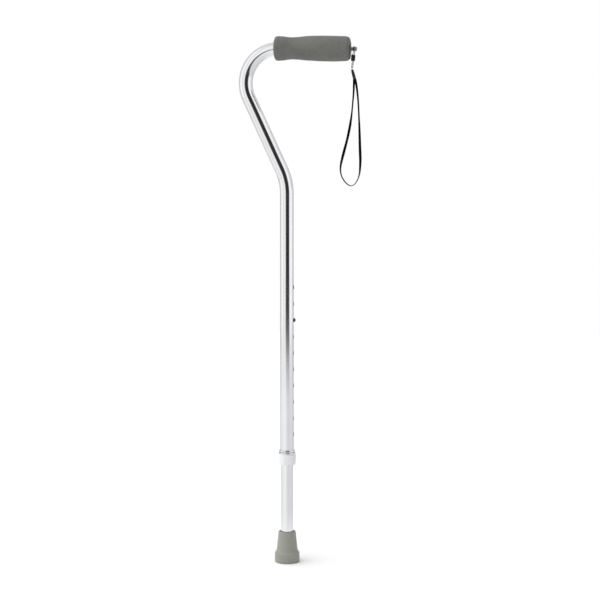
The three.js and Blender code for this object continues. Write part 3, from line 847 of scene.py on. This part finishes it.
# %% Metallised trim
bright, tree, shader = finish("vacuum-metallised ABS", Metallic=1.0, Coat_Weight=0.3, Coat_Roughness=0.1)
place = add(tree, "ShaderNodeTexCoord")
peel = add(tree, "ShaderNodeTexNoise", {"Vector": place.outputs["Object"]}, Scale=1 / (1.5 * MM), Detail=1.0)
haze = add(tree, "ShaderNodeTexNoise", {"Vector": place.outputs["Object"]}, Scale=150.0, Detail=3.0)
soft = add(tree, "ShaderNodeMapRange", {"Value": haze.outputs["Fac"]}, To_Min=0.14, To_Max=0.24)
film = add(tree, "ShaderNodeMix", {"Factor": haze.outputs["Fac"]}, data_type="RGBA",
           A=linear("#d6d7d9"), B=linear("#e6e6e7"))
bump = add(tree, "ShaderNodeBump", {"Height": peel.outputs["Fac"]}, Strength=0.1, Distance=0.05 * MM)
feed(tree, shader, Roughness=soft.outputs["Result"], Base_Color=film.outputs["Result"],
     Normal=bump.outputs["Normal"])
dress(sleeve, bright, "upper", "lock_sleeve")
dress(band, bright, "ring", "lock_ring")

# %% [markdown]
# ## The rubber tip
# The foot is a flared ferrule: a long cone that grips the tube, a curve out to a broad foot and a
# thick band round it with fine upright ribs. Rings moulded in the sole bite on a wet floor.

# %% Rubber tip
TIP = [
    (0, 0, 0), (6.0, 0, 0.2), (6.4, 1.2, 0.3), (7.8, 1.2, 0.3), (8.2, 0, 0.2), (11.2, 0, 0.2),
    (11.6, 1.2, 0.3), (13.0, 1.2, 0.3), (13.4, 0, 0.2), (17.2, 0, 0.8), (18.9, 0.5, 0.9),
    (19.3, 2.2, 0.8), (19.3, 4.0, 0.2), (19.0, 4.3, 0.1), (19.0, 4.6, 0.1), (19.3, 4.9, 0.2),
    (19.3, 14.0, 0.8), (18.7, 15.8, 0.9), (17.1, 17.4, 1.4), (16.2, 21.0, 6.0), (14.0, 42.0, 3.0),
    (13.55, 46.7, 0.9), (13.05, 48.5, 0.5), (11.4, 48.5, 0.3), (9.925, 46.9, 0.3), (9.925, 8.0, 0.3),
    (0, 8.0, 0),
]


TIP_RIBS, TIP_RIB_DEEP = 64, 0.3 * MM


def tip_ribs(angle, height, radius):
    """Upright ribs round the middle of the foot's band, as a cosine of the angle."""
    band = smooth_step(height, 6.2 * MM, 6.8 * MM) * smooth_step(-height, -12.4 * MM, -11.8 * MM)
    return np.where(radius > 19 * MM, TIP_RIB_DEEP / 2 * band * (np.cos(TIP_RIBS * angle) - 1), 0)


tip_points, tip_uv = turned(fine(filleted(TIP), 1.3 * MM), 384, tip_ribs)
tip = surface("flared_rubber_tip", [patch(tip_points, tip_uv)], sharp=45)

# %% [markdown]
# The rubber is a grey, non-marking compound, dusty from the mould. Fine chalky specks and slow cloudy
# patches break up its colour, and its lowest 3 mm is a touch darker.

# %% Grey rubber
rubber, tree, shader = finish("moulded non-marking rubber", IOR=1.5, Sheen_Weight=0.2)
place = add(tree, "ShaderNodeTexCoord")
cloud = add(tree, "ShaderNodeTexNoise", {"Vector": place.outputs["Object"]}, Scale=70.0, Detail=5.0)
speck = add(tree, "ShaderNodeTexNoise", {"Vector": place.outputs["Object"]}, Scale=1 / (0.7 * MM), Detail=2.0)
both = add(tree, "ShaderNodeMix", {"A": cloud.outputs["Fac"], "B": speck.outputs["Fac"]}, Factor=0.35)
shade = add(tree, "ShaderNodeMix", {"Factor": both.outputs["Result"]}, data_type="RGBA",
            A=linear("#83857b"), B=linear("#97998f"))
height_of = add(tree, "ShaderNodeSeparateXYZ", {"Vector": place.outputs["Object"]})
# Darker towards the bottom: the colour fades to three quarters over the lowest 3 mm.
darker_low_down = add(tree, "ShaderNodeMapRange", {"Value": height_of.outputs["Z"]}, From_Max=3 * MM,
           To_Min=0.75, To_Max=1.0)
darker = add(tree, "ShaderNodeVectorMath", {0: shade.outputs["Result"], "Scale": darker_low_down.outputs["Result"]},
             operation="SCALE")
dusty = add(tree, "ShaderNodeMapRange", {"Value": cloud.outputs["Fac"]}, To_Min=0.55, To_Max=0.8)
bump = add(tree, "ShaderNodeBump", {"Height": both.outputs["Result"]}, Strength=0.25, Distance=0.08 * MM)
feed(tree, shader, Base_Color=darker.outputs["Vector"], Roughness=dusty.outputs["Result"],
     Normal=bump.outputs["Normal"])
dress(tip, rubber, "leg", "rubber_tip")

# %% [markdown]
# ## The inner pieces
# The collet, the glide bush and the washer already have the right shape, and they show only when the
# tubes are drawn apart, so they keep their meshes and take finishes.

# %% Finishes for the inner pieces
for node, material in (("collet_ring", nylon), ("glide_bush", nylon), ("tip_washer", rolled)):
    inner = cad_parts[node]
    inner.data.materials.clear()
    inner.data.materials.append(material)
    print(f"{node}: {material.name}")

# %% [markdown]
# ## The room
# Polished metal shows the room more than itself. The room here is a pale floor with its edge about
# three metres off, soft walls of a few different greys, a pale ceiling, and behind the camera one dark
# screen with a dark skirting beside it. The screen draws the brown streak up the shaft, and the
# skirting draws the fine dark line that runs on round the bend to the grip.

# %% Floor
FLOOR_EDGE = 2.9
floor_across = np.linspace(0, 2 * math.pi, 97)
floor_out = np.linspace(0, FLOOR_EDGE, 9)
floor_grid = np.stack([
    floor_out[:, None] * np.cos(floor_across), floor_out[:, None] * np.sin(floor_across),
    0 * floor_out[:, None] * floor_across], axis=-1)
floor = surface("pale_floor", [patch(floor_grid, floor_grid[..., :2])])
if floor.data.polygons[0].normal.z < 0:
    floor.data.flip_normals()

# %% [markdown]
# The greys are tables of bearings, in degrees from the camera's own way towards its right. A radial
# gradient turns a direction into a bearing, and a colour ramp turns the bearing into a grey.

# %% Greys round the room
WALLS = [
    (-180, "#ffffff"), (-156, "#ffffff"), (-143, "#c9c9ce"), (-103, "#c9c9ce"), (-97, "#f4f4f4"),
    (-63, "#fbfbfb"), (-57, "#dcdcdd"), (-46, "#dcdcdd"), (-40, "#f4f4f4"), (-24, "#ededed"),
    (-12, "#322d2b"), (33, "#322d2b"), (45, "#f6f6f6"), (88, "#f4f4f4"), (94, "#cbcbd1"),
    (144, "#cbcbd1"), (157, "#ffffff"), (180, "#ffffff"),
]
# Painted shade on the floor: greys where the screens and walls would shade it, seen only in the metal.
PAINTED_FLOOR_SHADE = [  # the floor beyond the white paper
    (-180, "#ffffff"), (-150, "#f0f0f0"), (-116, "#e2e2e3"), (-95, "#f6f6f6"), (-24, "#ffffff"),
    (-4, "#ededed"), (14, "#e2e2e2"), (45, "#e2e2e3"), (80, "#e6e6e8"), (98, "#d8d8dc"),
    (140, "#d8d8dc"), (160, "#ffffff"), (180, "#ffffff"),
]
SKIRTING = [  # low down, past the floor's edge
    (-180, "#ffffff"), (-30, "#ffffff"), (-27, "#1d1a19"), (-12, "#1d1a19"), (-8, "#ffffff"),
    (180, "#ffffff"),
]


def greys_round(tree, direction, table):
    """The grey that a table gives for each direction, once the camera's way is turned to 0."""
    facing = add(tree, "ShaderNodeMapping", {"Vector": direction}, Rotation=(0, 0, math.pi / 2 - VIEW_SIDE))
    bearing = add(tree, "ShaderNodeTexGradient", {"Vector": facing.outputs["Vector"]},
                  gradient_type="RADIAL")
    ramp = add(tree, "ShaderNodeValToRGB", {"Fac": bearing.outputs["Fac"]})
    stops = ramp.color_ramp.elements
    while len(stops) < len(table):
        stops.new(0.5)
    for stop, (degrees, grey) in zip(stops, table):
        stop.position = degrees / 360 + 0.5
        stop.color = linear(grey)
    return ramp.outputs["Color"]


print(f"{len(WALLS)} greys on the walls, {len(PAINTED_FLOOR_SHADE)} on the floor, {len(SKIRTING)} on the skirting")

# %% [markdown]
# The cane stands on matt white paper. The floor's greys are painted shade, and only the metal sees
# them: to the camera and to the soft light it stays white all over.

# %% Paper and floor
paper, tree, shader = finish("matt white paper on a pale floor", Roughness=0.9, Specular_IOR_Level=0.1)
place = add(tree, "ShaderNodeTexCoord")
distance = add(tree, "ShaderNodeVectorMath", {0: place.outputs["Object"]}, operation="LENGTH")
mottle = add(tree, "ShaderNodeTexNoise", {"Vector": place.outputs["Object"]}, Scale=3.0, Detail=2.0)
white = add(tree, "ShaderNodeMix", {"Factor": mottle.outputs["Fac"]}, data_type="RGBA",
            A=linear("#f4f4f4"), B=linear("#f8f8f8"))
past_paper = add(tree, "ShaderNodeMapRange", {"Value": distance.outputs["Value"]},
                 interpolation_type="SMOOTHSTEP", From_Min=0.06, From_Max=0.42)
near_wall = add(tree, "ShaderNodeMapRange", {"Value": distance.outputs["Value"]},
                interpolation_type="SMOOTHSTEP", From_Min=1.5, From_Max=3.2)
# Painted shade: the floor's greys, and the walls' greys near its edge, darken the white paper for glossy
# rays.
greys = add(tree, "ShaderNodeMix", {
    "Factor": near_wall.outputs["Result"], "A": greys_round(tree, place.outputs["Object"], PAINTED_FLOOR_SHADE),
    "B": greys_round(tree, place.outputs["Object"], WALLS)}, data_type="RGBA")
seen = add(tree, "ShaderNodeLightPath")
in_metal = add(tree, "ShaderNodeMath", {
    0: past_paper.outputs["Result"], 1: seen.outputs["Is Glossy Ray"]}, operation="MULTIPLY")
paper_and_painted_shade = add(tree, "ShaderNodeMix", {
    "Factor": in_metal.outputs["Value"], "A": white.outputs["Result"], "B": greys.outputs["Result"]},
    data_type="RGBA", blend_type="MULTIPLY")
feed(tree, shader, Base_Color=paper_and_painted_shade.outputs["Result"])
floor.data.materials.append(paper)
print(f"{floor.name}: {paper.name}, {2 * FLOOR_EDGE:.1f} m across")

# %% [markdown]
# The walls are brighter in the metal than in the light they give the dull pieces, as soft boxes are
# when they stand close to a shiny thing. The camera itself sees plain white.

# %% Walls and ceiling
IN_METAL, ON_DULL = 1.22, 0.85
world = bpy.data.worlds.new("soft room")
world.use_nodes = True
bpy.context.scene.world = world
room = world.node_tree
room.nodes.clear()
way = add(room, "ShaderNodeTexCoord")
rise = add(room, "ShaderNodeSeparateXYZ", {"Vector": way.outputs["Generated"]})
high = add(room, "ShaderNodeMapRange", {"Value": rise.outputs["Z"]}, interpolation_type="SMOOTHSTEP",
           From_Min=0.6, From_Max=0.9)
low_down = add(room, "ShaderNodeMapRange", {"Value": rise.outputs["Z"]},
               interpolation_type="SMOOTHSTEP", From_Min=-0.13, From_Max=-0.11, To_Min=1.0, To_Max=0.0)
walls = add(room, "ShaderNodeMix", {
    "Factor": low_down.outputs["Result"], "A": greys_round(room, way.outputs["Generated"], WALLS),
    "B": greys_round(room, way.outputs["Generated"], SKIRTING)}, data_type="RGBA", blend_type="MULTIPLY")
dome = add(room, "ShaderNodeMix", {"Factor": high.outputs["Result"], "A": walls.outputs["Result"]},
           data_type="RGBA", B=linear("#d6d6d7"))
seen = add(room, "ShaderNodeLightPath")
level = add(room, "ShaderNodeMapRange", {"Value": seen.outputs["Is Diffuse Ray"]},
            To_Min=IN_METAL, To_Max=ON_DULL)
lit = add(room, "ShaderNodeBackground", {"Color": dome.outputs["Result"],
                                         "Strength": level.outputs["Result"]})
plain = add(room, "ShaderNodeBackground", Color=linear("#ffffff"))
either = add(room, "ShaderNodeMixShader", {"Fac": seen.outputs["Is Camera Ray"],
                                           1: lit.outputs["Background"], 2: plain.outputs["Background"]})
add(room, "ShaderNodeOutputWorld", {"Surface": either.outputs["Shader"]})
print(f"{world.name}: {len(room.nodes)} nodes")

# %% [markdown]
# One lamp behind a wide cloth gives the foam its soft shading and the foot its faint shadow. It draws
# no spot in the metal.

# %% Soft key light
KEY_STRENGTH = 2.3
KEY_SPREAD = math.radians(95)
KEY_TILT, KEY_TURN = math.radians(38), math.radians(-60)
key_data = bpy.data.lights.new("key", "SUN")
key_data.energy = KEY_STRENGTH
key_data.angle = KEY_SPREAD
key = bpy.data.objects.new("key", key_data)
key.rotation_euler = (KEY_TILT, 0, KEY_TURN)
key.visible_glossy = False
bpy.context.scene.collection.objects.link(key)
bpy.context.scene.view_settings.view_transform = "Standard"
print(f"{key.name}: {KEY_STRENGTH} W/m2")
